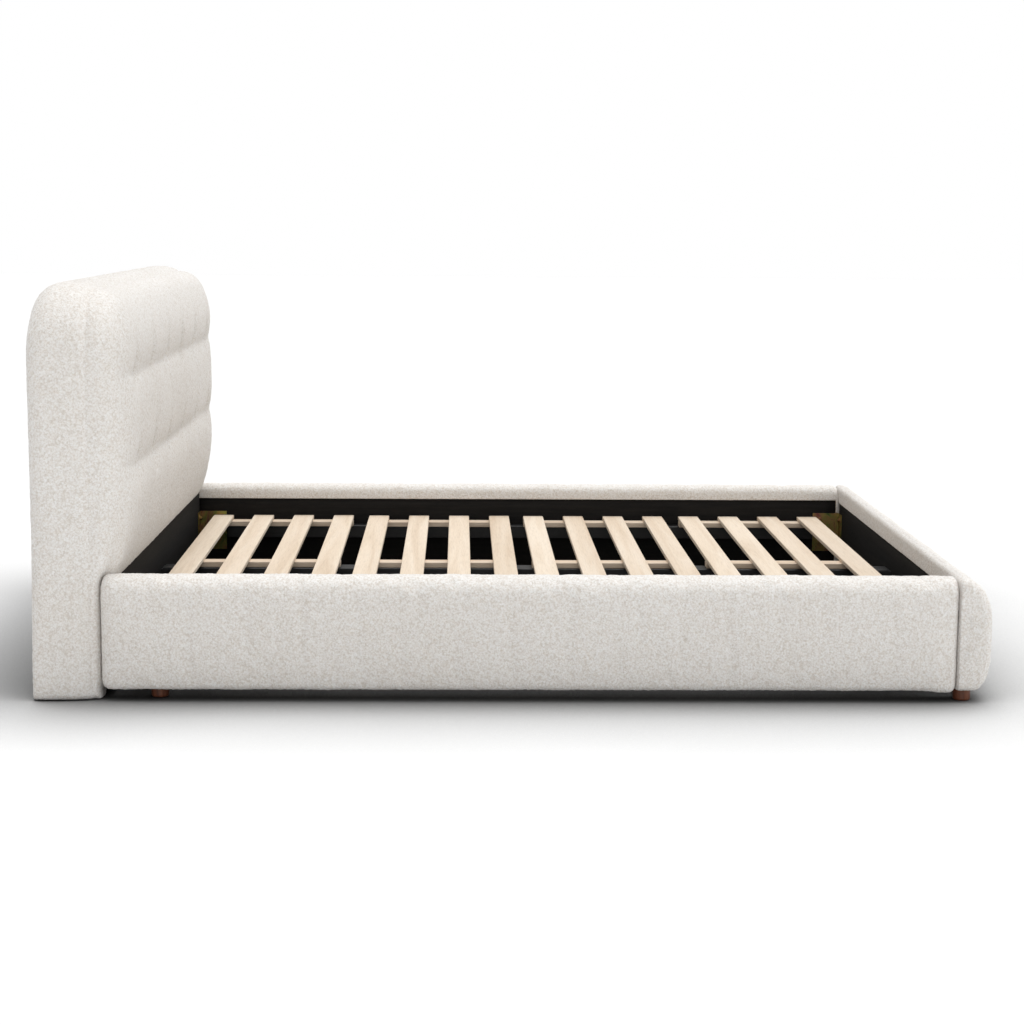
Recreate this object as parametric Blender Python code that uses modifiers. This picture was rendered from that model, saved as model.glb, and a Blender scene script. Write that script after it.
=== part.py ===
"""Upholstered bed: tufted headboard, padded rails, and four lift-out slat modules.

Metres, +Z up. The origin is on the floor, at the middle of the bed's footprint.
+X runs from the headboard to the foot end, and -Y is called the near side.
"""

import math

import bmesh
import bpy
from mathutils import Matrix

# ---------------------------------------------------------------- driving dimensions

# overall sizes
BED_LENGTH = 2.320
BED_WIDTH = 1.710
HEADBOARD_HEIGHT = 1.000

# clearances
TOUCH_GAP = 0.0003      # between pieces that touch
SEAM_GAP = 0.0010       # between padded pieces that butt against each other
SLAT_END_CLEARANCE = 0.007

# headboard
BORDER_DEPTH = 0.147          # boxing band, from the back to the border seam
BORDER_THICKNESS = 0.072
BACK_EDGE_RADIUS = 0.060      # round outer edge at the back
SEAM_EDGE = 0.003             # small round edge at the border seam
HEADBOARD_LOW_DEPTH = 0.164   # total depth below the rails' tops
PAD_PUFF = 0.075              # how far the pad stands out from the low part
CORNER_RADIUS = 0.165
BOTTOM_CORNER_RADIUS = 0.020
INNER_CORNER = 0.002          # the same corner on the band's inner side
EDGE_LIP = 0.004              # pad's thickness at the border seam
EDGE_RADIUS = 0.022
PUFF_RIM = 0.095              # width over which the puff rises from the border
TUFT_COLUMNS = 6
TUFT_SIDE_MARGIN = 0.215      # from the side to the outer tufts
TUFT_DEPTH = 0.038
CREASE_DEPTH = 0.025
TOP_CREASE_DROP = 0.221       # from the headboard's top to the upper crease
CREASE_PITCH = 0.222
LINING_DROP = 0.0045          # from the rails' tops to the lining's top
LINING_FORWARD = 0.0225       # between the rails, the lining stands in front of the low face
BOARD_THICKNESS = 0.018
BACK_COVER_THICKNESS = 0.004
TIMBER = 0.045
POST_DROP = 0.220             # from the headboard's top to the posts' tops
BOTTOM_RAIL_LOW = 0.060
BOTTOM_RAIL_HEIGHT = 0.140

# rails
RAIL_THICKNESS = 0.080
RAIL_BOTTOM = 0.028
RAIL_TOP = 0.3045
SIDE_TOP_RADIUS = 0.034
SIDE_INNER_RADIUS = 0.024
SIDE_BOTTOM_RADIUS = 0.014
FOOT_RAIL_DEPTH = 0.083
FOOT_TOP_RADIUS = 0.072
FOOT_INNER_RADIUS = 0.010
FOOT_BOTTOM_RADIUS = 0.040
RAIL_BOARD = 0.022
TOP_PADDING = 0.0195          # over the boards' top edges
WRAP_THICKNESS = 0.005
SIDE_WRAP_HEIGHT = 0.043      # padded cover that comes down the inner side
FOOT_WRAP_HEIGHT = 0.050
COVER_END = 0.025             # cover past the end of the foot rail's board
COVER_BEVEL = 0.010

# slats and what carries them
MODULES = 4
SLATS_PER_MODULE = 4
SLAT_WIDTH = 0.0635
SLAT_THICKNESS = 0.012
SLAT_DROP = 0.0955            # from the rails' tops to the slats' tops
MODULE_GAP = 0.047
HEAD_END_SPACE = 0.077        # from the headboard's low face to the first slat
FOOT_END_SPACE = 0.070        # from the last slat to the foot rail
BATTEN_WIDTH = 0.045
BATTEN_THICKNESS = 0.016
BATTEN_INSET = 0.010          # from the slats' ends
MODULE_LAY = [(0.0, 0.55), (-0.002, 0.35), (-0.002, 0.45), (0.001, 0.10)]  # shift in m, turn in degrees
LEDGER_WIDTH = 0.040
LEDGER_HEIGHT = 0.040
BEAM_WIDTH = 0.060
BEAM_HEIGHT = 0.070
HANGER_DEPTH = 0.040
HANGER_TOP_DROP = 0.004       # from the beam's top to its hangers' tops
STEEL = 0.003
CENTRE_LEGS = 3
CENTRE_LEG_RADIUS = 0.018
CENTRE_LEG_FOOT_RADIUS = 0.024
CENTRE_LEG_FOOT_HEIGHT = 0.008

# corner brackets
BRACKET_SIDE_LEG = 0.085
BRACKET_END_LEG = 0.048
BRACKET_HEIGHT = 0.123
BRACKET_DROP = 0.085          # from the rails' tops to the brackets' tops
BRACKET_CORNER = 0.008

# feet
FOOT_RADIUS = 0.0215
FOOT_EDGE = 0.005
HEAD_FOOT_FROM_BACK = 0.298
HEAD_FOOT_FROM_SIDE = 0.065
END_FOOT_FROM_FACE = 0.062
END_FOOT_FROM_SIDE = 0.045

# ---------------------------------------------------------------- places worked out from them

HALF_WIDTH = BED_WIDTH / 2
BACK_X = -BED_LENGTH / 2
FOOT_X = BED_LENGTH / 2
BORDER_X = BACK_X + BORDER_DEPTH
LOW_FACE_X = BACK_X + HEADBOARD_LOW_DEPTH
PAD_BACK_X = BORDER_X + TOUCH_GAP
PAD_FRONT_X = LOW_FACE_X + PAD_PUFF
LINING_X = LOW_FACE_X + LINING_FORWARD
LINING_TOP = RAIL_TOP - LINING_DROP
CURL_Z = RAIL_TOP + 0.002
UPPER_CREASE_Z = HEADBOARD_HEIGHT - TOP_CREASE_DROP
LOWER_CREASE_Z = UPPER_CREASE_Z - CREASE_PITCH
TUFT_PITCH = (BED_WIDTH - 2 * TUFT_SIDE_MARGIN) / (TUFT_COLUMNS - 1)
POST_TOP = HEADBOARD_HEIGHT - POST_DROP

RAIL_START_X = LOW_FACE_X + SEAM_GAP
FOOT_INNER_X = FOOT_X - FOOT_RAIL_DEPTH
RAIL_END_X = FOOT_INNER_X - SEAM_GAP
WRAP_Y = HALF_WIDTH - RAIL_THICKNESS
SIDE_BOARD_Y = WRAP_Y + WRAP_THICKNESS
FOOT_BOARD_X = FOOT_INNER_X + WRAP_THICKNESS
SIDE_HEM_Z = RAIL_TOP - SIDE_WRAP_HEIGHT
FOOT_HEM_Z = RAIL_TOP - FOOT_WRAP_HEIGHT
RAIL_BOARD_TOP = RAIL_TOP - TOP_PADDING

SLAT_TOP = RAIL_TOP - SLAT_DROP
SLAT_BOTTOM = SLAT_TOP - SLAT_THICKNESS
BATTEN_TOP = SLAT_BOTTOM - TOUCH_GAP
BATTEN_BOTTOM = BATTEN_TOP - BATTEN_THICKNESS
SUPPORT_TOP = BATTEN_BOTTOM - TOUCH_GAP
SLAT_HALF_LENGTH = WRAP_Y - SLAT_END_CLEARANCE
FIRST_SLAT_X = LOW_FACE_X + HEAD_END_SPACE
LAST_SLAT_X = FOOT_INNER_X - FOOT_END_SPACE
MODULE_LENGTH = (LAST_SLAT_X - FIRST_SLAT_X - (MODULES - 1) * MODULE_GAP) / MODULES
SLAT_PITCH = (MODULE_LENGTH - SLAT_WIDTH) / (SLATS_PER_MODULE - 1)
BRACKET_BACK_Y = SIDE_BOARD_Y - TOUCH_GAP
BRACKET_HEAD_X = LINING_X + TOUCH_GAP
BRACKET_FOOT_X = FOOT_BOARD_X - TOUCH_GAP

SIDES = {"near": -1, "far": 1}

# ---------------------------------------------------------------- scene and materials


def clear_scene():
    for old in list(bpy.data.objects):
        bpy.data.objects.remove(old, do_unlink=True)


def new_collection(name):
    collection = bpy.data.collections.new(name)
    bpy.context.scene.collection.children.link(collection)
    return collection


def material(name, color, roughness, metallic=0.0):
    made = bpy.data.materials.new(name)
    made.use_nodes = True
    shader = made.node_tree.nodes["Principled BSDF"]
    shader.inputs["Base Color"].default_value = (*color, 1.0)
    shader.inputs["Roughness"].default_value = roughness
    shader.inputs["Metallic"].default_value = metallic
    made.diffuse_color = (*color, 1.0)
    return made


clear_scene()
PARTS = new_collection("upholstered_bed")
CUTTERS = new_collection("cutters")

BOUCLE = material("boucle", (0.80, 0.77, 0.72), 0.95)
LINING = material("black_lining", (0.012, 0.012, 0.012), 0.85)
PLYWOOD = material("plywood", (0.62, 0.47, 0.30), 0.65)
SOFTWOOD = material("softwood", (0.72, 0.56, 0.36), 0.70)
SLAT_WOOD = material("slat_wood", (0.80, 0.69, 0.54), 0.55)
BLACK_PAINT = material("black_paint", (0.015, 0.015, 0.016), 0.50)
YELLOW_ZINC = material("yellow_zinc", (0.72, 0.58, 0.26), 0.35, 1.0)
BROWN_WOOD = material("brown_wood", (0.16, 0.055, 0.028), 0.40)
BLACK_STEEL = material("black_steel", (0.020, 0.020, 0.022), 0.45, 0.6)

# ---------------------------------------------------------------- making tools


def add_object(name, mesh, look):
    made = bpy.data.objects.new(name, mesh)
    PARTS.objects.link(made)
    made.data.materials.clear()
    made.data.materials.append(look)
    return made


def cube_mesh(name, size):
    shape = bmesh.new()
    bmesh.ops.create_cube(shape, size=1.0)
    bmesh.ops.transform(shape, matrix=Matrix.Diagonal((*size, 1.0)), verts=shape.verts)
    mesh = bpy.data.meshes.new(name)
    shape.to_mesh(mesh)
    shape.free()
    return mesh


def bevel(target, width, segments=1):
    modifier = target.modifiers.new("soft edges", "BEVEL")
    modifier.width = width
    modifier.segments = segments
    modifier.limit_method = "ANGLE"
    modifier.angle_limit = math.radians(40)


def box(name, low, high, look, edge=0.0, segments=1):
    """A block from its lowest corner to its highest one."""
    size = [b - a for a, b in zip(low, high)]
    made = add_object(name, cube_mesh(name, size), look)
    made.location = [(a + b) / 2 for a, b in zip(low, high)]
    if edge:
        bevel(made, edge, segments)
    return made


def cut_away(target, low, high):
    """Cut a block-shaped space out of a piece."""
    size = [b - a for a, b in zip(low, high)]
    cutter = bpy.data.objects.new(target.name + "_cutter", cube_mesh("cutter", size))
    cutter.location = [(a + b) / 2 for a, b in zip(low, high)]
    cutter.hide_render = True
    cutter.display_type = "WIRE"
    CUTTERS.objects.link(cutter)
    modifier = target.modifiers.new("cut", "BOOLEAN")
    modifier.operation = "DIFFERENCE"
    modifier.object = cutter


def arc(center, radius, start, end, steps=8):
    """Points on a circle from one angle to another, in degrees."""
    angles = [math.radians(start + (end - start) * i / steps) for i in range(steps + 1)]
    return [(center[0] + radius * math.cos(a), center[1] + radius * math.sin(a)) for a in angles]


def prism(name, outline, along, low, high, look):
    """A flat outline pushed along X (outline in Y, Z) or along Y (outline in X, Z)."""
    curve = bpy.data.curves.new(name, "CURVE")
    curve.dimensions = "2D"
    curve.fill_mode = "BOTH"
    curve.extrude = (high - low) / 2
    spline = curve.splines.new("POLY")
    spline.points.add(len(outline) - 1)
    for point, (a, b) in zip(spline.points, outline):
        point.co = (a, b, 0, 1)
    spline.use_cyclic_u = True
    flat = bpy.data.objects.new(name + "_outline", curve)
    PARTS.objects.link(flat)
    bpy.context.view_layer.update()
    evaluated = flat.evaluated_get(bpy.context.evaluated_depsgraph_get())
    mesh = bpy.data.meshes.new_from_object(evaluated)
    bpy.data.objects.remove(flat, do_unlink=True)
    shape = bmesh.new()
    shape.from_mesh(mesh)
    bmesh.ops.remove_doubles(shape, verts=shape.verts, dist=0.00001)
    bmesh.ops.dissolve_limit(shape, angle_limit=0.001, verts=shape.verts, edges=shape.edges)
    bmesh.ops.recalc_face_normals(shape, faces=shape.faces)
    shape.to_mesh(mesh)
    shape.free()
    made = add_object(name, mesh, look)
    middle = (low + high) / 2
    if along == "X":
        made.rotation_euler = (math.pi / 2, 0, math.pi / 2)
        made.location = (middle, 0, 0)
    else:
        made.rotation_euler = (math.pi / 2, 0, 0)
        made.location = (0, middle, 0)
    return made


def turned(name, profile, place, look, steps=32):
    """A closed turned piece; the profile runs down its outer side from axis to axis."""
    mesh = bpy.data.meshes.new(name)
    edges = [(i, i + 1) for i in range(len(profile) - 1)]
    mesh.from_pydata([(r, 0, z) for r, z in profile], edges, [])
    made = add_object(name, mesh, look)
    screw = made.modifiers.new("turn", "SCREW")
    screw.steps = steps
    screw.render_steps = steps
    screw.use_merge_vertices = True
    screw.merge_threshold = 0.00001
    made.location = place
    return made


# ---------------------------------------------------------------- headboard


def arch_outline(inset, bottom_radius):
    """Headboard outline in Y, Z, drawn in by an inset at the sides and the top."""
    half = HALF_WIDTH - inset
    top = HEADBOARD_HEIGHT - inset
    radius = CORNER_RADIUS - inset
    right = arc((half - radius, top - radius), radius, 0, 90, 14)
    if bottom_radius:
        right = arc((half - bottom_radius, bottom_radius), bottom_radius, -90, 0, 5) + right
    else:
        right = [(half, 0.0)] + right
    left = [(-y, z) for y, z in reversed(right)]
    return right + left


def half_width_at(z):
    """Half the headboard's width at a height."""
    over_top = z - (HEADBOARD_HEIGHT - CORNER_RADIUS)
    under_bottom = BOTTOM_CORNER_RADIUS - z
    if over_top > 0:
        return HALF_WIDTH - CORNER_RADIUS + math.sqrt(max(CORNER_RADIUS**2 - over_top**2, 0))
    if under_bottom > 0:
        flat = HALF_WIDTH - BOTTOM_CORNER_RADIUS
        return flat + math.sqrt(max(BOTTOM_CORNER_RADIUS**2 - under_bottom**2, 0))
    return HALF_WIDTH


def depth_inside(y, z):
    """Distance from the headboard's outline, inwards."""
    across = abs(y) - (HALF_WIDTH - CORNER_RADIUS)
    up = z - (HEADBOARD_HEIGHT - CORNER_RADIUS)
    if across > 0 and up > 0:
        return CORNER_RADIUS - math.hypot(across, up)
    return min(HALF_WIDTH - abs(y), HEADBOARD_HEIGHT - z, z)


def rounded_rise(distance, radius):
    """Quarter-circle rise from 0 at the edge to 1 at the radius."""
    short = 1 - min(max(distance / radius, 0), 1)
    return math.sqrt(1 - short * short)


def pad_front(y, z):
    """X of the pad's front: a thin base, a puff over it, and tufted creases in the puff."""
    inside = depth_inside(y, z)
    base = LOW_FACE_X - SEAM_GAP / 2 - PAD_BACK_X - EDGE_LIP
    x = PAD_BACK_X + EDGE_LIP + base * rounded_rise(inside, EDGE_RADIUS)
    puff = PAD_PUFF * rounded_rise(inside, PUFF_RIM) * rounded_rise(z - CURL_Z, PUFF_RIM)
    at_tuft = abs(math.sin(math.pi * y / TUFT_PITCH)) ** 6
    if abs(y) > TUFT_PITCH * TUFT_COLUMNS / 2:
        at_tuft = 0
    depth = CREASE_DEPTH + (TUFT_DEPTH - CREASE_DEPTH) * at_tuft
    for crease in (LOWER_CREASE_Z, UPPER_CREASE_Z):
        near = max(1 - abs(z - crease) / (CREASE_PITCH / 2), 0)
        puff -= depth * near**2.2 * min(inside / PUFF_RIM, 1)
    return x + max(puff, 0)


def clustered(low, high, steps):
    """Heights from low to high, closer together at both ends; the last one is left out."""
    return [low + (high - low) * (1 - math.cos(math.pi * i / steps)) / 2 for i in range(steps)]


def headboard_pad():
    rows = [BOTTOM_CORNER_RADIUS * (1 - math.cos(math.pi / 2 * i / 4)) for i in range(4)]
    rows += [BOTTOM_CORNER_RADIUS, CURL_Z / 2]
    rows += clustered(CURL_Z, LOWER_CREASE_Z, 8)
    rows += clustered(LOWER_CREASE_Z, UPPER_CREASE_Z, 8)
    rows += clustered(UPPER_CREASE_Z, HEADBOARD_HEIGHT, 12) + [HEADBOARD_HEIGHT]
    quarter = TUFT_PITCH / 4
    middle = [quarter * i for i in range(-11, 12)]
    edge_insets = [0.0, 0.004, 0.012, 0.028, 0.055, 0.095]
    columns = len(middle) + 2 * len(edge_insets)

    def column_y(index, z):
        half = half_width_at(z)
        if index < len(edge_insets):
            return -half + edge_insets[index]
        if index >= columns - len(edge_insets):
            return half - edge_insets[columns - 1 - index]
        squeeze = (half - edge_insets[-1]) / (HALF_WIDTH - edge_insets[-1])
        return middle[index - len(edge_insets)] * squeeze

    shape = bmesh.new()
    bmesh.ops.create_grid(shape, x_segments=columns - 1, y_segments=len(rows) - 1, size=1.0)
    for vert in shape.verts:
        column = round((vert.co.x + 1) / 2 * (columns - 1))
        row = round((vert.co.y + 1) / 2 * (len(rows) - 1))
        z = rows[row]
        y = column_y(column, z)
        vert.co = (pad_front(y, z), y, z)
    pushed = bmesh.ops.extrude_face_region(shape, geom=shape.faces[:])
    back = [part for part in pushed["geom"] if isinstance(part, bmesh.types.BMVert)]
    for vert in back:
        vert.co.x = PAD_BACK_X
    behind = set(back)
    back_edges = [edge for edge in shape.edges if behind.issuperset(edge.verts)]
    bmesh.ops.dissolve_limit(shape, angle_limit=0.001, verts=back, edges=back_edges)
    bmesh.ops.recalc_face_normals(shape, faces=shape.faces)
    mesh = bpy.data.meshes.new("headboard_pad")
    shape.to_mesh(mesh)
    shape.free()
    pad = add_object("headboard_pad", mesh, BOUCLE)
    reach = WRAP_Y + TOUCH_GAP
    cut_away(pad, (PAD_BACK_X - 0.01, -reach, -0.01), (PAD_FRONT_X, reach, LINING_TOP + TOUCH_GAP))


def headboard_border():
    """A padded band round the headboard, with a round edge at the back."""
    rings = [(BORDER_X, SEAM_EDGE), (BORDER_X - 2 * SEAM_EDGE, 0.0)]
    rings += [(x, inset) for inset, x in back_edge()]
    rings += [(BACK_X, BORDER_THICKNESS), (BORDER_X, BORDER_THICKNESS)]
    verts = []
    for x, inset in rings:
        outline = arch_outline(inset, max(BOTTOM_CORNER_RADIUS - inset, INNER_CORNER))
        verts += [(x, y, z) for y, z in outline]
    count = len(verts) // len(rings)
    faces = []
    for ring in range(len(rings)):
        here, there = ring * count, (ring + 1) % len(rings) * count
        faces += [(here + i, here + i + 1, there + i + 1, there + i) for i in range(count - 1)]
    for end in (0, count - 1):
        cap = [ring * count + end for ring in range(len(rings))]
        faces.append(cap if end else cap[::-1])
    mesh = bpy.data.meshes.new("headboard_border")
    mesh.from_pydata(verts, [], faces)
    shape = bmesh.new()
    shape.from_mesh(mesh)
    bmesh.ops.recalc_face_normals(shape, faces=shape.faces)
    shape.to_mesh(mesh)
    shape.free()
    add_object("headboard_border", mesh, BOUCLE)


def back_edge():
    """The back edge's quarter circle, as pairs of inset and X."""
    radius = min(BACK_EDGE_RADIUS, BORDER_THICKNESS - 2 * SEAM_EDGE)
    return [(inset, x) for inset, x in arc((radius, BACK_X + radius), radius, 180, 270, 6)]


def headboard():
    headboard_border()
    snug = arch_outline(BORDER_THICKNESS + TOUCH_GAP, INNER_CORNER)
    board_back = BORDER_X - BOARD_THICKNESS
    prism("headboard_board", snug, "X", board_back, BORDER_X, PLYWOOD)
    cover_front = BACK_X + BACK_COVER_THICKNESS
    prism("headboard_back_cover", snug, "X", BACK_X, cover_front, LINING)
    headboard_pad()

    timber_back = cover_front + TOUCH_GAP
    timber_front = board_back - TOUCH_GAP
    post_outer = HALF_WIDTH - BORDER_THICKNESS - TOUCH_GAP
    post_inner = post_outer - TIMBER
    for side, sign in SIDES.items():
        low, high = sorted((sign * post_inner, sign * post_outer))
        foot, top = (timber_back, low, INNER_CORNER), (timber_front, high, POST_TOP)
        box("headboard_post_" + side, foot, top, SOFTWOOD)
    reach = post_inner - TOUCH_GAP
    heights = {
        "headboard_bottom_rail": (BOTTOM_RAIL_LOW, BOTTOM_RAIL_LOW + BOTTOM_RAIL_HEIGHT, reach),
        "headboard_middle_rail": (LOWER_CREASE_Z - TIMBER / 2, LOWER_CREASE_Z + TIMBER / 2, reach),
        "headboard_top_rail": (POST_TOP + TOUCH_GAP, POST_TOP + TIMBER, post_outer),
    }
    for name, (low, high, half) in heights.items():
        box(name, (timber_back, -half, low), (timber_front, half, high), SOFTWOOD)

    half = WRAP_Y - TOUCH_GAP
    low_z = BOTTOM_CORNER_RADIUS
    box("headboard_lining", (PAD_BACK_X, -half, low_z), (LINING_X, half, LINING_TOP), LINING)


# ---------------------------------------------------------------- rails


def side_profile(sign):
    """Side rail cover's outline in Y, Z: round over the top, slightly round below."""
    inner_center = (WRAP_Y + SIDE_INNER_RADIUS, RAIL_TOP - SIDE_INNER_RADIUS)
    top_center = (HALF_WIDTH - SIDE_TOP_RADIUS, RAIL_TOP - SIDE_TOP_RADIUS)
    bottom_center = (HALF_WIDTH - SIDE_BOTTOM_RADIUS, RAIL_BOTTOM + SIDE_BOTTOM_RADIUS)
    points = arc(inner_center, SIDE_INNER_RADIUS, 180, 90)
    points += arc(top_center, SIDE_TOP_RADIUS, 90, 0)
    points += arc(bottom_center, SIDE_BOTTOM_RADIUS, 0, -90, 5)
    points += [(WRAP_Y, RAIL_BOTTOM)]
    return [(sign * y, z) for y, z in points]


def side_rails():
    for side, sign in SIDES.items():
        cover = prism("side_rail_cover_" + side, side_profile(sign), "X", RAIL_START_X, RAIL_END_X, BOUCLE)
        board_low, board_high = sorted((sign * SIDE_BOARD_Y, sign * (SIDE_BOARD_Y + RAIL_BOARD)))
        open_low, open_high = sorted((sign * (WRAP_Y - 0.01), sign * (SIDE_BOARD_Y + RAIL_BOARD / 2)))
        past = 0.01
        cut_away(
            cover,
            (RAIL_START_X - past, board_low - TOUCH_GAP, RAIL_BOTTOM - past),
            (RAIL_END_X + past, board_high + TOUCH_GAP, RAIL_BOARD_TOP + TOUCH_GAP),
        )
        cut_away(
            cover,
            (RAIL_START_X - past, open_low, RAIL_BOTTOM - past),
            (RAIL_END_X + past, open_high, SIDE_HEM_Z),
        )
        box(
            "side_rail_board_" + side,
            (RAIL_START_X, board_low, RAIL_BOTTOM),
            (RAIL_END_X, board_high, RAIL_BOARD_TOP),
            PLYWOOD,
        )
        low, high = sorted((sign * BRACKET_BACK_Y, sign * (BRACKET_BACK_Y - LEDGER_WIDTH)))
        between = BRACKET_SIDE_LEG + 0.006
        box(
            "side_ledger_" + side,
            (BRACKET_HEAD_X + between, low, SUPPORT_TOP - LEDGER_HEIGHT),
            (BRACKET_FOOT_X - between, high, SUPPORT_TOP),
            BLACK_PAINT,
            edge=0.002,
        )


def foot_rail():
    inner_center = (FOOT_INNER_X + FOOT_INNER_RADIUS, RAIL_TOP - FOOT_INNER_RADIUS)
    top_center = (FOOT_X - FOOT_TOP_RADIUS, RAIL_TOP - FOOT_TOP_RADIUS)
    bottom_center = (FOOT_X - FOOT_BOTTOM_RADIUS, RAIL_BOTTOM + FOOT_BOTTOM_RADIUS)
    outline = arc(inner_center, FOOT_INNER_RADIUS, 180, 90, 5)
    outline += arc(top_center, FOOT_TOP_RADIUS, 90, 0, 12)
    outline += arc(bottom_center, FOOT_BOTTOM_RADIUS, 0, -90)
    outline += [(FOOT_INNER_X, RAIL_BOTTOM)]
    cover = prism("foot_rail_cover", outline, "Y", -HALF_WIDTH, HALF_WIDTH, BOUCLE)
    bevel(cover, COVER_BEVEL, 3)
    board_half = HALF_WIDTH - COVER_END
    board_front = FOOT_BOARD_X + RAIL_BOARD
    past = 0.01
    cut_away(
        cover,
        (FOOT_BOARD_X - TOUCH_GAP, -board_half - TOUCH_GAP, RAIL_BOTTOM - past),
        (board_front + TOUCH_GAP, board_half + TOUCH_GAP, RAIL_BOARD_TOP + TOUCH_GAP),
    )
    inside = SIDE_BOARD_Y + TOUCH_GAP
    cut_away(
        cover,
        (FOOT_INNER_X - past, -inside, RAIL_BOTTOM - past),
        (FOOT_BOARD_X + RAIL_BOARD / 2, inside, FOOT_HEM_Z),
    )
    box(
        "foot_rail_board",
        (FOOT_BOARD_X, -board_half, RAIL_BOTTOM),
        (board_front, board_half, RAIL_BOARD_TOP),
        PLYWOOD,
    )


# ---------------------------------------------------------------- brackets and centre beam


def corner_brackets():
    """Folded L plates: one leg on the side rail, the other on the headboard or the foot rail."""
    middle = RAIL_TOP - BRACKET_DROP - BRACKET_HEIGHT / 2
    for end, face, away in (("head", BRACKET_HEAD_X, 1), ("foot", BRACKET_FOOT_X, -1)):
        for side, sign in SIDES.items():
            outer_y = sign * BRACKET_BACK_Y
            plan = [
                (face, outer_y),
                (face + away * BRACKET_SIDE_LEG, outer_y),
                (face + away * BRACKET_SIDE_LEG, outer_y - sign * STEEL),
                (face + away * STEEL, outer_y - sign * STEEL),
                (face + away * STEEL, outer_y - sign * BRACKET_END_LEG),
                (face, outer_y - sign * BRACKET_END_LEG),
            ]
            plate = prism("corner_bracket_" + end + "_" + side, plan, "X", 0, BRACKET_HEIGHT, YELLOW_ZINC)
            plate.rotation_euler = (0, 0, 0)
            plate.location = (0, 0, middle)


def centre_support():
    half = BEAM_WIDTH / 2
    bottom = SUPPORT_TOP - BEAM_HEIGHT
    head_x = BRACKET_HEAD_X
    foot_x = BRACKET_FOOT_X
    end_gap = STEEL + 2 * TOUCH_GAP
    box(
        "centre_beam",
        (head_x + end_gap, -half, bottom),
        (foot_x - end_gap, half, SUPPORT_TOP),
        BLACK_PAINT,
        edge=0.002,
    )
    outer = half + TOUCH_GAP + STEEL
    for end, face, away in (("head", head_x, 1), ("foot", foot_x, -1)):
        low_x, high_x = sorted((face, face + away * HANGER_DEPTH))
        low_z = bottom - TOUCH_GAP - STEEL
        high_z = SUPPORT_TOP - HANGER_TOP_DROP
        hanger = box("beam_hanger_" + end, (low_x, -outer, low_z), (high_x, outer, high_z), BLACK_STEEL)
        inner = outer - STEEL
        cut_low, cut_high = sorted((face + away * STEEL, face + away * (HANGER_DEPTH + 0.01)))
        cut_away(hanger, (cut_low, -inner, bottom - TOUCH_GAP), (cut_high, inner, SUPPORT_TOP + 0.01))
    spacing = (foot_x - head_x) / (CENTRE_LEGS + 1)
    top = bottom - TOUCH_GAP
    profile = [
        (0, top),
        (CENTRE_LEG_RADIUS, top),
        (CENTRE_LEG_RADIUS, CENTRE_LEG_FOOT_HEIGHT + 0.004),
        (CENTRE_LEG_FOOT_RADIUS, CENTRE_LEG_FOOT_HEIGHT),
        (CENTRE_LEG_FOOT_RADIUS, 0.0015),
        (CENTRE_LEG_FOOT_RADIUS - 0.0015, 0),
        (0, 0),
    ]
    for index in range(CENTRE_LEGS):
        place = (head_x + spacing * (index + 1), 0, 0)
        turned("centre_leg_" + str(index + 1), profile, place, BLACK_STEEL)


# ---------------------------------------------------------------- slat modules


def slat_modules():
    """Four loose modules: slats across the bed on three battens each."""
    batten_end = SLAT_HALF_LENGTH - BATTEN_INSET
    outer_y = batten_end - BATTEN_WIDTH / 2
    batten_places = {"near": -outer_y, "centre": 0.0, "far": outer_y}
    slat_size = (SLAT_WIDTH, 2 * SLAT_HALF_LENGTH, SLAT_THICKNESS)
    batten_size = (MODULE_LENGTH, BATTEN_WIDTH, BATTEN_THICKNESS)
    slat_mesh = cube_mesh("slat", slat_size)
    batten_mesh = cube_mesh("batten", batten_size)
    slat_mesh.materials.append(SLAT_WOOD)
    batten_mesh.materials.append(SLAT_WOOD)
    for module in range(MODULES):
        shift, turn = MODULE_LAY[module]
        start = FIRST_SLAT_X + module * (MODULE_LENGTH + MODULE_GAP)
        holder = bpy.data.objects.new("module_" + str(module + 1), None)
        holder.location = (start + MODULE_LENGTH / 2, shift, 0)
        holder.rotation_euler = (0, 0, math.radians(turn))
        PARTS.objects.link(holder)
        pieces = []
        for index in range(SLATS_PER_MODULE):
            slat = bpy.data.objects.new("slat_%02d" % (module * SLATS_PER_MODULE + index + 1), slat_mesh)
            offset = (index - (SLATS_PER_MODULE - 1) / 2) * SLAT_PITCH
            slat.location = (offset, 0, (SLAT_TOP + SLAT_BOTTOM) / 2)
            pieces.append(slat)
        for place, y in batten_places.items():
            batten = bpy.data.objects.new("batten_" + str(module + 1) + "_" + place, batten_mesh)
            batten.location = (0, y, (BATTEN_TOP + BATTEN_BOTTOM) / 2)
            pieces.append(batten)
        for piece in pieces:
            piece.parent = holder
            PARTS.objects.link(piece)
            bevel(piece, 0.0015)


# ---------------------------------------------------------------- feet


def feet():
    top = RAIL_BOTTOM - TOUCH_GAP
    profile = [(0, top), (FOOT_RADIUS, top)]
    profile += arc((FOOT_RADIUS - FOOT_EDGE, FOOT_EDGE), FOOT_EDGE, 0, -90, 4)
    profile += [(0, 0)]
    for side, sign in SIDES.items():
        head = (BACK_X + HEAD_FOOT_FROM_BACK, sign * (HALF_WIDTH - HEAD_FOOT_FROM_SIDE), 0)
        end = (FOOT_X - END_FOOT_FROM_FACE, sign * (HALF_WIDTH - END_FOOT_FROM_SIDE), 0)
        turned("foot_head_" + side, profile, head, BROWN_WOOD)
        turned("foot_end_" + side, profile, end, BROWN_WOOD)


headboard()
side_rails()
foot_rail()
corner_brackets()
centre_support()
slat_modules()
feet()
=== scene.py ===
"""Looks for the upholstered bed: boucle covers, linings, timber, steel, floor, light and camera."""

import math

import bmesh
import bpy
import numpy as np
from mathutils import Matrix, Vector, noise


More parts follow.
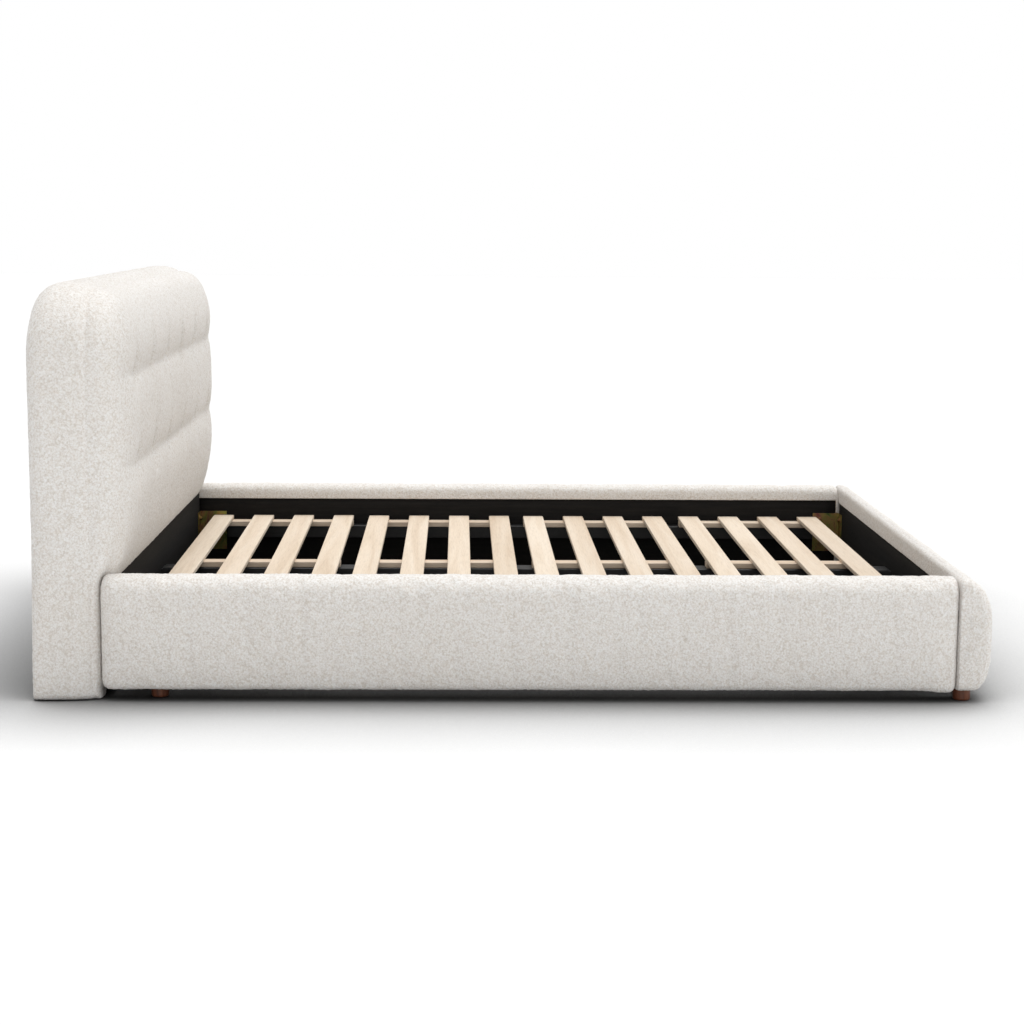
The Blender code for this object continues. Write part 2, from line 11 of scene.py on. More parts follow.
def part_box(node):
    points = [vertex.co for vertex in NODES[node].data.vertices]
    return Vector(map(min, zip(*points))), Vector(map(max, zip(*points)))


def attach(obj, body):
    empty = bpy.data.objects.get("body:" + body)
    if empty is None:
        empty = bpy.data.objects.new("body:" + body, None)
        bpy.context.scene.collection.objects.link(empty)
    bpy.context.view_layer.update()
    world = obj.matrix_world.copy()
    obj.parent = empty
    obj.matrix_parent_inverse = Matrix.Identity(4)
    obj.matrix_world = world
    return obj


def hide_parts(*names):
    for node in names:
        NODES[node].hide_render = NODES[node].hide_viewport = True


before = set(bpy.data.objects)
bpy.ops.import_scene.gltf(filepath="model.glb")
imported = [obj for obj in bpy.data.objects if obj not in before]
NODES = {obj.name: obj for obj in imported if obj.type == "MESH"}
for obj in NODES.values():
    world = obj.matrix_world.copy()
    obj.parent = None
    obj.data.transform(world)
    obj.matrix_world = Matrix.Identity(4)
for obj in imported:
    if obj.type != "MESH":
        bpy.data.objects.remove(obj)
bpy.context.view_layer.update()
SIDES = {"near": -1, "far": 1}
BEDFRAME = "bedframe"

# ---------------------------------------------------------------- places from the frame

PAD_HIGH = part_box("headboard_pad")[1]
BAND_LOW, BAND_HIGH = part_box("headboard_border")
LINING_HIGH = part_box("headboard_lining")[1]
RAIL_LOW, RAIL_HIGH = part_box("side_rail_cover_far")
RAIL_BOARD_LOW, RAIL_BOARD_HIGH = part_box("side_rail_board_far")
FOOT_LOW, FOOT_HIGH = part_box("foot_rail_cover")
FOOT_BOARD_LOW, FOOT_BOARD_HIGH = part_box("foot_rail_board")

HALF_WIDTH = BAND_HIGH.y
TOP = BAND_HIGH.z
BACK_X = BAND_LOW.x
SEAM_X = BAND_HIGH.x
RAIL_TOP = RAIL_HIGH.z
RAIL_BOTTOM = RAIL_LOW.z
MIDDLE_Z = (RAIL_BOTTOM + RAIL_TOP) / 2
HALF_Z = (RAIL_TOP - RAIL_BOTTOM) / 2
LOW_FACE_X = RAIL_LOW.x - 0.0015    # just clear of the rails' ends

# ---------------------------------------------------------------- headboard sizes, in metres

GRID = 0.0125                       # spacing of the cover's points
CORNER_RADIUS = 0.165
BOTTOM_CORNER_RADIUS = 0.020
SEAM_INSET = 0.014                  # from the outline to the seam
FRONT_X = PAD_HIGH.x + 0.003
LOW_EDGE_RADIUS = 0.030
SIDE_RIM = 0.170                    # how far in the padding is still rising
TOP_RIM = 0.165
BOTTOM_RIM = 0.250
CROWN = 0.004                       # extra fullness at half height
SOFTNESS = 0.0016                   # uneven filling
HEM_Z = RAIL_TOP - 0.0215
CURL_Z = RAIL_TOP - 0.038           # where the padding starts to swell
CURL_LIFT = 0.036                   # the curl starts higher over the rails' ends

TUFT_PITCH = 0.256
TUFT_COLUMNS = 6
TUFT_DEPTH = 0.028
TUFT_WIDTH = 0.024
CREASE_HEIGHTS = (TOP - 0.443, TOP - 0.221)
CREASE_HALF = 0.111                 # half the height of a crease's valley
CREASE_DEPTH = 0.012
CREASE_WAVE = 0.0025
CREASE_EASE = 0.55                  # share of its depth a crease loses past the outer tufts
CREASE_EASE_LENGTH = 0.14
STITCH_DEPTH = 0.0050
STITCH_WIDTH = 0.008
FOLD_DEPTH_OVER = 0.0180            # pull folds above a tuft
FOLD_DEPTH_UNDER = 0.0040           # and below it
FOLD_WIDTH = 0.008
FOLD_SPREAD = 0.13
FOLD_LENGTH = 0.050

BAND_THICKNESS = 0.072
BACK_RADIUS_TOP = 0.070
BACK_RADIUS_SIDE = 0.045
BACK_RADIUS_LOW = 0.014
GROOVE_BACK = 0.0028                # behind the seam
GROOVE_DEPTH = 0.0075
SHOULDER_BACK = 0.0150
SHOULDER_SHARE = 0.62               # how far out the band stands at its shoulder

# ---------------------------------------------------------------- rail sizes, in metres

RAIL_HEM = 0.043                    # down the inner side from the rail's top
FOOT_HEM = 0.050
HEM_LAP = 0.004                     # a lining reaches this far up behind its hem
END_STRIP = 0.0065                  # cover left at the rail's ends
END_PADDING = 0.0007                # cover over the rail board's end
BOARD_GAP = 0.0003
LINING_GAP = 0.00005
BRACKET_GAP = 0.003
CUT_PAST = 0.02                     # a cut runs on past what it opens
OUTLINE_STEP = 0.0105
STATION_STEP = 0.0110
ALONG_EASE = 0.10                   # fullness fades over this length at an end

# ---------------------------------------------------------------- node helpers


def new_material(name):
    made = bpy.data.materials.new(name)
    made.use_nodes = True
    tree = made.node_tree
    return made, tree, tree.nodes["Principled BSDF"]


def add_node(tree, kind, **values):
    made = tree.nodes.new(kind)
    for key, value in values.items():
        setattr(made, key, value)
    return made


def set_inputs(node, **values):
    for key, value in values.items():
        node.inputs[key.replace("_", " ")].default_value = value


def plug(tree, shader, **outputs):
    """Feed a shader's sockets, by name."""
    for key, output in outputs.items():
        tree.links.new(output, shader.inputs[key.replace("_", " ")])


def coordinates(tree, scale=(1, 1, 1)):
    source = add_node(tree, "ShaderNodeTexCoord")
    mapping = add_node(tree, "ShaderNodeMapping")
    mapping.inputs["Scale"].default_value = scale
    tree.links.new(source.outputs["Object"], mapping.inputs["Vector"])
    return mapping.outputs["Vector"]


def noise_texture(tree, vector, scale, detail=2.0, roughness=0.5, distortion=0.0):
    made = add_node(tree, "ShaderNodeTexNoise")
    set_inputs(made, Scale=scale, Detail=detail, Roughness=roughness, Distortion=distortion)
    tree.links.new(vector, made.inputs["Vector"])
    return made.outputs["Fac"]


def cells(tree, vector, scale):
    made = add_node(tree, "ShaderNodeTexVoronoi", feature="SMOOTH_F1")
    set_inputs(made, Scale=scale, Smoothness=0.35)
    tree.links.new(vector, made.inputs["Vector"])
    return made.outputs["Distance"]


def ramp(tree, value, stops):
    """A color ramp with stops of (place, color)."""
    made = add_node(tree, "ShaderNodeValToRGB")
    elements = made.color_ramp.elements
    while len(elements) < len(stops):
        elements.new(0.5)
    for element, (place, color) in zip(elements, stops):
        element.position = place
        element.color = (*color, 1.0)
    tree.links.new(value, made.inputs["Fac"])
    return made.outputs["Color"]


def grey(value):
    return (value, value, value)


def grey_ramp(tree, value, first, last, low=0.3, high=0.7):
    return ramp(tree, value, [(low, grey(first)), (high, grey(last))])


def mix_colors(tree, factor, first, second, mode="MIX"):
    """Mix two colors; each of the three values is a number, a color or another node's output."""
    made = add_node(tree, "ShaderNodeMix", data_type="RGBA", blend_type=mode)
    sockets = {s.identifier: s for s in made.inputs}
    outputs = {s.identifier: s for s in made.outputs}
    for key, value in (("Factor_Float", factor), ("A_Color", first), ("B_Color", second)):
        if isinstance(value, bpy.types.NodeSocket):
            tree.links.new(value, sockets[key])
        elif key == "Factor_Float":
            sockets[key].default_value = value
        else:
            sockets[key].default_value = (*value, 1.0)
    return outputs["Result_Color"]


def math_node(tree, operation, first, second):
    made = add_node(tree, "ShaderNodeMath", operation=operation)
    for socket, value in zip(made.inputs, (first, second)):
        if isinstance(value, bpy.types.NodeSocket):
            tree.links.new(value, socket)
        else:
            socket.default_value = value
    return made.outputs["Value"]


def bump(tree, shader, height, distance, strength):
    made = add_node(tree, "ShaderNodeBump")
    set_inputs(made, Strength=strength, Distance=distance)
    tree.links.new(height, made.inputs["Height"])
    plug(tree, shader, Normal=made.outputs["Normal"])


# ---------------------------------------------------------------- materials


def boucle_material():
    """Looped wool: pale curls standing over warmer gaps, the gaps also darkened with painted shade."""
    made, tree, shader = new_material("boucle_fabric")
    vector = coordinates(tree)
    curls = noise_texture(tree, vector, 150.0, 2.0, 0.55, 1.8)
    nubs = cells(tree, vector, 185.0)
    fleck = noise_texture(tree, vector, 85.0, 3.0, 0.6, 1.4)
    cloud = noise_texture(tree, vector, 2.6, 2.0, 0.5)
    height = math_node(tree, "SUBTRACT", curls, math_node(tree, "MULTIPLY", nubs, 0.45))
    # painted shade: the colour follows the curls' height, so the hollows between them are darker and
    # warmer
    curls_with_gap_shade = ramp(
        tree,
        height,
        [
            (0.08, (0.660, 0.618, 0.572)),
            (0.22, (0.750, 0.720, 0.686)),
            (0.36, (0.810, 0.795, 0.774)),
            (0.52, (0.865, 0.858, 0.848)),
        ],
    )
    flecks = grey_ramp(tree, fleck, 0.0, 1.0, 0.46, 0.68)
    warm = mix_colors(tree, 0.5, curls_with_gap_shade, (0.93, 0.885, 0.835), "MULTIPLY")
    color = mix_colors(tree, flecks, curls_with_gap_shade, warm)
    shade = ramp(tree, cloud, [(0.30, (0.965, 0.957, 0.947)), (0.70, (1.0, 1.0, 1.0))])
    color = mix_colors(tree, 1.0, color, shade, "MULTIPLY")
    plug(tree, shader, Base_Color=color, Roughness=grey_ramp(tree, height, 1.0, 0.86, 0.2))
    set_inputs(shader, Sheen_Weight=0.22, Sheen_Roughness=0.55, Specular_IOR_Level=0.18)
    bump(tree, shader, height, 0.0022, 0.70)
    return made


def lining_material():
    """Black non-woven lining: matt, faintly mottled, with long soft streaks."""
    made, tree, shader = new_material("black_lining_cloth")
    fine = noise_texture(tree, coordinates(tree), 420.0, 3.0, 0.6)
    streak = noise_texture(tree, coordinates(tree, (3, 3, 45)), 2.2, 3.0, 0.55)
    color = ramp(tree, streak, [(0.35, (0.0045, 0.0038, 0.0034)), (0.70, (0.0100, 0.0086, 0.0076))])
    color = mix_colors(tree, 1.0, color, grey_ramp(tree, fine, 0.75, 1.25, 0.35), "MULTIPLY")
    plug(tree, shader, Base_Color=color, Roughness=grey_ramp(tree, fine, 0.72, 0.90))
    set_inputs(shader, Specular_IOR_Level=0.25)
    bump(tree, shader, fine, 0.0004, 0.7)
    return made


def wood_material(name, pale, mid, dark, grain_axis, roughness=(0.50, 0.62), ring=26.0, pores=0.5):
    """Sawn wood with the grain drawn out along one axis of the frame."""
    made, tree, shader = new_material(name)
    stretched = [1.0, 1.0, 1.0]
    stretched[grain_axis] = 0.045
    by_piece = [2.0, 2.0, 2.0]
    by_piece[grain_axis] = 0.02
    vector = coordinates(tree, stretched)
    wide = noise_texture(tree, vector, ring, 4.0, 0.6, 0.9)
    fine = noise_texture(tree, vector, ring * 14, 3.0, 0.65)
    piece = noise_texture(tree, coordinates(tree, by_piece), 3.1, 1.0)
    color = ramp(tree, wide, [(0.32, dark), (0.50, mid), (0.68, pale)])
    tone = ramp(tree, piece, [(0.35, (0.90, 0.875, 0.85)), (0.65, (1.0, 1.0, 1.0))])
    color = mix_colors(tree, 1.0, color, tone, "MULTIPLY")
    color = mix_colors(tree, pores, color, grey_ramp(tree, fine, 0.80, 1.0, 0.36, 0.52), "MULTIPLY")
    smoothest, roughest = roughness
    plug(tree, shader, Base_Color=color, Roughness=grey_ramp(tree, fine, roughest, smoothest))
    set_inputs(shader, Specular_IOR_Level=0.35)
    bump(tree, shader, fine, 0.0003, 0.5)
    return made


def paint_material():
    """Black brushed paint on timber."""
    made, tree, shader = new_material("black_painted_timber")
    brush = noise_texture(tree, coordinates(tree, (0.06, 1, 1)), 220.0, 3.0, 0.6)
    dust = noise_texture(tree, coordinates(tree), 18.0, 4.0, 0.65)
    color = ramp(tree, dust, [(0.35, (0.006, 0.006, 0.0065)), (0.72, (0.018, 0.0175, 0.018))])
    plug(tree, shader, Base_Color=color, Roughness=grey_ramp(tree, brush, 0.38, 0.60))
    bump(tree, shader, brush, 0.0003, 0.5)
    return made


def steel_material():
    """Black powder-coated steel."""
    made, tree, shader = new_material("black_powder_coat")
    grain = noise_texture(tree, coordinates(tree), 900.0, 2.0, 0.5)
    wear = noise_texture(tree, coordinates(tree), 24.0, 3.0, 0.6)
    color = ramp(tree, wear, [(0.35, (0.012, 0.012, 0.013)), (0.75, (0.034, 0.034, 0.036))])
    plug(tree, shader, Base_Color=color, Roughness=grey_ramp(tree, grain, 0.40, 0.58))
    bump(tree, shader, grain, 0.0002, 0.5)
    return made


def zinc_material():
    """Yellow-passivated zinc: gold with green and rose drifts, kept dark as painted shade for plates
    behind the slats.
    """
    made, tree, shader = new_material("yellow_zinc_plate")
    drift = noise_texture(tree, coordinates(tree), 17.0, 3.0, 0.6, 1.6)
    scuff = noise_texture(tree, coordinates(tree, (1, 1, 0.12)), 260.0, 3.0, 0.6)
    # painted shade: these colours are dimmer than bright zinc, for the plates' shaded place behind the
    # slats
    color = ramp(
        tree,
        drift,
        [
            (0.30, (0.10, 0.15, 0.05)),
            (0.43, (0.29, 0.27, 0.08)),
            (0.55, (0.36, 0.24, 0.09)),
            (0.68, (0.26, 0.10, 0.08)),
        ],
    )
    plug(tree, shader, Base_Color=color, Roughness=grey_ramp(tree, scuff, 0.26, 0.46))
    set_inputs(shader, Metallic=1.0)
    bump(tree, shader, scuff, 0.0002, 0.5)
    return made


def floor_material():
    """Pale studio paper, its colour darkened by an ambient occlusion node as painted shadow where the bed
    stands over it and keeps the room's light off.
    """
    made, tree, shader = new_material("studio_floor")
    tone = noise_texture(tree, coordinates(tree), 1.4)
    # painted shadow: ambient occlusion darkens the floor's colour near and under the bed
    shade = add_node(tree, "ShaderNodeAmbientOcclusion", samples=12)
    set_inputs(shade, Distance=0.55)
    painted_shadow_share = math_node(tree, "POWER", shade.outputs["AO"], 1.6)
    color = mix_colors(tree, 1.0, grey_ramp(tree, tone, 0.80, 0.82), painted_shadow_share, "MULTIPLY")
    plug(tree, shader, Base_Color=color, Roughness=grey_ramp(tree, tone, 0.80, 0.86))
    set_inputs(shader, Specular_IOR_Level=0.2)
    return made


BOUCLE = boucle_material()
LINING = lining_material()
SLAT_WOOD = wood_material(
    "slat_timber", (0.830, 0.725, 0.600), (0.775, 0.655, 0.520), (0.690, 0.560, 0.425), 1
)
BATTEN_WOOD = wood_material(
    "batten_timber", (0.790, 0.670, 0.545), (0.730, 0.600, 0.470), (0.640, 0.500, 0.375), 0
)
PLYWOOD = wood_material(
    "plywood_sheet", (0.66, 0.50, 0.33), (0.60, 0.44, 0.28), (0.50, 0.35, 0.21), 0, ring=14.0
)
SOFTWOOD = wood_material(
    "frame_softwood", (0.78, 0.60, 0.38), (0.72, 0.53, 0.32), (0.58, 0.38, 0.20), 1, ring=18.0
)
BROWN_WOOD = wood_material(
    "stained_foot_wood",
    (0.200, 0.075, 0.038),
    (0.150, 0.052, 0.026),
    (0.085, 0.028, 0.015),
    2,
    roughness=(0.30, 0.45),
    ring=60.0,
    pores=0.8,
)
BLACK_PAINT = paint_material()
BLACK_STEEL = steel_material()
YELLOW_ZINC = zinc_material()

# ---------------------------------------------------------------- CAD nodes that stay


def finish_nodes():
    """Give every CAD node its material, by how its name starts."""
    looks = {
        "headboard_lining": LINING,
        "headboard_back_cover": LINING,
        "headboard_board": PLYWOOD,
        "headboard_post": SOFTWOOD,
        "headboard_bottom_rail": SOFTWOOD,
        "headboard_middle_rail": SOFTWOOD,
        "headboard_top_rail": SOFTWOOD,
        "side_rail_board": PLYWOOD,
        "foot_rail_board": PLYWOOD,
        "side_ledger": BLACK_PAINT,
        "centre_beam": BLACK_PAINT,
        "centre_leg": BLACK_STEEL,
        "beam_hanger": BLACK_STEEL,
        "corner_bracket": YELLOW_ZINC,
        "foot_head": BROWN_WOOD,
        "foot_end": BROWN_WOOD,
        "slat_": SLAT_WOOD,
        "batten_": BATTEN_WOOD,
    }
    for name, node in NODES.items():
        for start, look in looks.items():
            if name.startswith(start):
                node.data.materials.clear()
                node.data.materials.append(look)


finish_nodes()

# ---------------------------------------------------------------- mesh helpers


def grid_faces(across, up, start=0):
    """Faces of a grid of points, so many across and so many up."""
    faces = []
    for r in range(up - 1):
        for c in range(across - 1):
            a = start + r * across + c
            faces.append((a, a + 1, a + 1 + across, a + across))
    return faces


def grid_border(across, up):
    """The outer points of a grid, in order round it."""
    border = list(range(across))
    border += [r * across + across - 1 for r in range(1, up)]
    border += [(up - 1) * across + c for c in range(across - 2, -1, -1)]
    border += [r * across for r in range(up - 2, 0, -1)]
    return border


def bridge(first, second):
    """Faces that join two closed rows of points, one to one."""
    count = len(first)
    faces = []
    for i in range(count):
        j = (i + 1) % count
        faces.append((first[i], first[j], second[j], second[i]))
    return faces


def mesh_piece(name, verts, faces, look, smooth=True):
    """A new object with its faces turned outward."""
    mesh = bpy.data.meshes.new(name)
    mesh.from_pydata([tuple(v) for v in verts], [], faces)
    mesh.validate()
    shape = bmesh.new()
    shape.from_mesh(mesh)
    bmesh.ops.recalc_face_normals(shape, faces=shape.faces)
    if shape.calc_volume(signed=True) < 0:
        bmesh.ops.reverse_faces(shape, faces=shape.faces)
    shape.to_mesh(mesh)
    shape.free()
    made = bpy.data.objects.new(name, mesh)
    bpy.context.scene.collection.objects.link(made)
    mesh.materials.append(look)
    for face in mesh.polygons:
        face.use_smooth = smooth
    return made


def apply_modifiers(target):
    """Replace a piece's mesh with what its modifiers make of it."""
    bpy.context.view_layer.update()
    evaluated = target.evaluated_get(bpy.context.evaluated_depsgraph_get())
    mesh = bpy.data.meshes.new_from_object(evaluated)
    old = target.data
    target.modifiers.clear()
    target.data = mesh
    bpy.data.meshes.remove(old)


def nub_texture():
    made = bpy.data.textures.new("nubs", "CLOUDS")
    made.noise_scale = 0.0085
    made.noise_depth = 1
    made.noise_basis = "VORONOI_F1"
    return made


NUBS = nub_texture()


def add_nubs(target):
    """Round a cover once more and raise the boucle's nubs on it."""
    finer = target.modifiers.new("finer", "SUBSURF")
    finer.levels = 1
    finer.render_levels = 1
    nubs = target.modifiers.new("nubs", "DISPLACE")
    nubs.texture = NUBS
    nubs.texture_coords = "LOCAL"
    nubs.mid_level = 0.5
    nubs.strength = -0.0030
    apply_modifiers(target)


def box_cutter(name, low, high):
    """A block between two corners."""
    size = [b - a for a, b in zip(low, high)]
    shape = bmesh.new()
    bmesh.ops.create_cube(shape, size=1.0)
    bmesh.ops.transform(shape, matrix=Matrix.Diagonal((*size, 1.0)), verts=shape.verts)
    bmesh.ops.translate(shape, vec=[(a + b) / 2 for a, b in zip(low, high)], verts=shape.verts)
    mesh = bpy.data.meshes.new(name)
    shape.to_mesh(mesh)
    shape.free()
    made = bpy.data.objects.new(name, mesh)
    bpy.context.scene.collection.objects.link(made)
    return made


def cut_boxes(target, boxes):
    """Cut block-shaped spaces out of a piece, for the boards that it is wrapped over."""
    cutters = []
    for index, (low, high) in enumerate(boxes):
        cutter = box_cutter(target.name + "_cut" + str(index), low, high)
        modifier = target.modifiers.new("cut", "BOOLEAN")
        modifier.operation = "DIFFERENCE"
        modifier.solver = "MANIFOLD"
        modifier.object = cutter
        cutters.append(cutter)
    apply_modifiers(target)
    for cutter in cutters:
        bpy.data.objects.remove(cutter, do_unlink=True)


def rise(value):
    """Quarter-circle rise from 0 to 1."""
    short = 1 - min(max(value, 0), 1)
    return math.sqrt(1 - short * short)


def smooth_step(value):
    value = min(max(value, 0.0), 1.0)
    return value * value * (3 - 2 * value)


def bell(distance, width):
    """1 at no distance, falling off smoothly over a width."""
    return math.exp(-((distance / width) ** 2))


def uneven(x, y, z, size, seed):
    """Smooth noise with bumps of about a size, the same at every run."""
    return noise.noise(Vector((x / size + seed, y / size, z / size)))


# ---------------------------------------------------------------- cloth simulation


def inflate(target, held, pressure, cap, frames=16, slack=0.02):
    """Blow a padded cover up as cloth where it isn't held, and keep the shape without the simulation."""
    mesh = target.data
    group = target.vertex_groups.new(name="held")
    for index, weight in enumerate(held):
        if weight > 0:
            group.add([index], weight, "REPLACE")
    before = np.empty(len(mesh.vertices) * 3)
    mesh.vertices.foreach_get("co", before)
    cloth = target.modifiers.new("cloth", "CLOTH")
    settings = cloth.settings
    settings.quality = 5
    settings.mass = 0.3
    settings.tension_stiffness = 22
    settings.compression_stiffness = 12
    settings.shear_stiffness = 8
    settings.bending_stiffness = 1.2
    settings.air_damping = 4
    settings.vertex_group_mass = "held"
    settings.pin_stiffness = 3.0
    settings.use_pressure = True
    settings.uniform_pressure_force = pressure
    settings.shrink_min = -slack
    settings.effector_weights.gravity = 0
    cloth.collision_settings.use_collision = False
    cloth.collision_settings.use_self_collision = False
    cloth.point_cache.frame_start = 1
    cloth.point_cache.frame_end = frames
    scene = bpy.context.scene
    for step in range(1, frames + 1):
        scene.frame_set(step)
    evaluated = target.evaluated_get(bpy.context.evaluated_depsgraph_get())
    after = np.empty(len(mesh.vertices) * 3)
    evaluated.data.vertices.foreach_get("co", after)
    target.modifiers.clear()
    target.vertex_groups.clear()
    scene.frame_set(1)
    moved = np.nan_to_num(after - before).reshape(-1, 3)
    length = np.linalg.norm(moved, axis=1)
    limit = np.minimum(1.0, cap / np.maximum(length, 1e-9))
    mesh.vertices.foreach_set("co", (before.reshape(-1, 3) + moved * limit[:, None]).ravel())
    mesh.update()


def finish_cover(cover, boxes, fill, *nodes):
    """Nubs, then spaces for the boards; the cover then stands for its CAD nodes."""
    add_nubs(cover)
    cut_boxes(cover, boxes)
    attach(cover, BEDFRAME)
    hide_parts(*nodes)


# ---------------------------------------------------------------- headboard cover


def half_width_at(z, inset):
    """Half the headboard's width at a height, for an outline drawn in by an inset."""
    radius = CORNER_RADIUS - inset
    over_top = z - (TOP - CORNER_RADIUS)
    under_bottom = BOTTOM_CORNER_RADIUS - z
    if over_top > 0:
        return HALF_WIDTH - CORNER_RADIUS + math.sqrt(max(radius**2 - over_top**2, 0))
    if under_bottom > 0:
        flat = HALF_WIDTH - inset - BOTTOM_CORNER_RADIUS
        return flat + math.sqrt(max(BOTTOM_CORNER_RADIUS**2 - under_bottom**2, 0))
    return HALF_WIDTH - inset


def depth_inside(y, z):
    """Distance from the headboard's outline, inwards."""
    across = abs(y) - (HALF_WIDTH - CORNER_RADIUS)
    up = z - (TOP - CORNER_RADIUS)
    if across > 0 and up > 0:
        return CORNER_RADIUS - math.hypot(across, up)
    return min(HALF_WIDTH - abs(y), TOP - z)


TUFTS = [(i - (TUFT_COLUMNS - 1) / 2) * TUFT_PITCH for i in range(TUFT_COLUMNS)]


def crease_depth(y, z, inside):
    """How far the creases, the tufts and their pull folds sink into the front."""
    sunk = 0.0
    off = min(abs(tuft - y) for tuft in TUFTS)
    valley = CREASE_DEPTH + (TUFT_DEPTH - CREASE_DEPTH) * bell(off, TUFT_WIDTH)
    past_tufts = max(abs(y) - TUFTS[-1], 0)
    ease = 1 - CREASE_EASE * smooth_step(past_tufts / CREASE_EASE_LENGTH)
    for crease in CREASE_HEIGHTS:
        wave = CREASE_WAVE * uneven(0, y, crease, 0.16, 3.0)
        dz = z - crease - wave
        near = max(1 - abs(dz) / CREASE_HALF, 0)
        sunk += valley * ease * near**3
        sunk += STITCH_DEPTH * ease * bell(dz, STITCH_WIDTH)
        fold = FOLD_DEPTH_OVER if dz > 0 else FOLD_DEPTH_UNDER
        spread = FOLD_WIDTH + FOLD_SPREAD * abs(dz)
        sunk += fold * bell(off, spread) * math.exp(-abs(dz) / FOLD_LENGTH)
    return sunk * smooth_step((inside - 0.004) / 0.085)


def front_x(y, z):
    """How far forward the cover's front stands."""
    inside = max(depth_inside(y, z) - SEAM_INSET, 0)
    x = SEAM_X + (LOW_FACE_X - SEAM_X) * rise(inside / LOW_EDGE_RADIUS)
    high = smooth_step((z - (TOP - 0.34)) / 0.24)
    rim = SIDE_RIM + (TOP_RIM - SIDE_RIM) * high
    start = CURL_Z + CURL_LIFT * smooth_step((abs(y) - RAIL_LOW.y + 0.010) / 0.030)
    swell = rise(inside / rim) * rise((z - start) / BOTTOM_RIM)
    up_the_pad = min(max((z - CURL_Z) / (TOP - CURL_Z), 0), 1)
    crown = CROWN * math.sin(math.pi * up_the_pad)
    puff = (FRONT_X - LOW_FACE_X - CROWN + crown) * swell
    if puff > 0:
        puff -= crease_depth(y, z, inside) * min(swell * 1.2, 1)
        puff += SOFTNESS * uneven(0, y, z, 0.11, 8.0) * swell
    return x + max(puff, 0)


def headboard_hold(y, z):
    """How firmly the front is held: at the seam, the bottom, the creases and the tufts."""
    inside = depth_inside(y, z) - SEAM_INSET
    if z < CURL_Z or inside < 0.004:
        return 1.0
    hold = 0.35 * bell(inside, 0.05) + 0.35 * bell(z - CURL_Z, 0.05)
    off = min(abs(tuft - y) for tuft in TUFTS)
    for crease in CREASE_HEIGHTS:
        dz = abs(z - crease)
        hold += 0.75 * bell(dz, 0.010) * smooth_step(inside / 0.10)
        hold += bell(off, 0.012) * bell(dz, 0.012)
        hold += 0.6 * bell(off, 0.010) * math.exp(-dz / 0.045)
    return min(hold, 1.0)


def spaced(low, high, step):
    """Even places from low up to, but not at, high."""
    count = max(round((high - low) / step), 1)
    return [low + (high - low) * i / count for i in range(count)]


def eased(last, end, steps):
    """Places from past last up to end, closer and closer together."""
    return [last + (end - last) * math.sin(math.pi / 2 * i / steps) for i in range(1, steps + 1)]


def headboard_rows():
    """Heights of the cover's rows of points, closer together at the two ends."""
    rows = [0.0, 0.004, 0.009, 0.015]
    rows += spaced(BOTTOM_CORNER_RADIUS, CURL_Z, 0.020)
    rows += spaced(CURL_Z, TOP - 0.05, GRID)
    return rows + eased(rows[-1], TOP - SEAM_INSET, 7)


def headboard_columns():
    """Places across as a share of the half width, closer together toward the sides."""
    half = [0.0]
    while half[-1] < 0.955:
        half.append(half[-1] + GRID / HALF_WIDTH)
    half += eased(half[-1], 1.0, 6)
    return [-share for share in reversed(half[1:])] + half


def band_profile(z):
    """The band's section at a height, from the seam to the back: (depth behind the seam, way out)."""
    radius = BACK_RADIUS_LOW + (BACK_RADIUS_SIDE - BACK_RADIUS_LOW) * smooth_step(z / 0.45)
    radius += (BACK_RADIUS_TOP - BACK_RADIUS_SIDE) * smooth_step((z - 0.80) / 0.18)
    groove = 0.15 + 0.20 * smooth_step((z - (TOP - 0.17)) / 0.07)
    full = SEAM_INSET
    depth = SEAM_X - BACK_X
    flat = depth - radius
    profile = [
        (GROOVE_BACK, -GROOVE_DEPTH * groove),
        (0.0060, 0.0015),
        (SHOULDER_BACK, full * SHOULDER_SHARE),
    ]
    for i in range(1, 6):
        back = SHOULDER_BACK + (flat - SHOULDER_BACK) * i / 5
        share = SHOULDER_SHARE + (1 - SHOULDER_SHARE) * smooth_step(i / 2.5)
        profile.append((back, full * share))
    for i in range(1, 7):
        turn = math.radians(90 * i / 6)
        profile.append((flat + radius * math.sin(turn), full - radius * (1 - math.cos(turn))))
    inner = full - BAND_THICKNESS
    return profile + [(depth, inner), (depth - 0.004, inner), (depth - 0.07, inner)]


def outward(y, z, amount):
    """A point of the outline moved out of it; the bottom edge stays down."""
    over = z - (TOP - CORNER_RADIUS)
    side = abs(y) - (HALF_WIDTH - CORNER_RADIUS)
    if over > 0 and side > 0:
        length = math.hypot(side, over)
        return math.copysign(abs(y) + amount * side / length, y), z + amount * over / length
    if over > 0:
        return y, z + amount
    if z <= 0.0001 and abs(y) < HALF_WIDTH - BOTTOM_CORNER_RADIUS - SEAM_INSET:
        return y * (1 + amount / HALF_WIDTH), z
    return math.copysign(abs(y) + amount, y), z


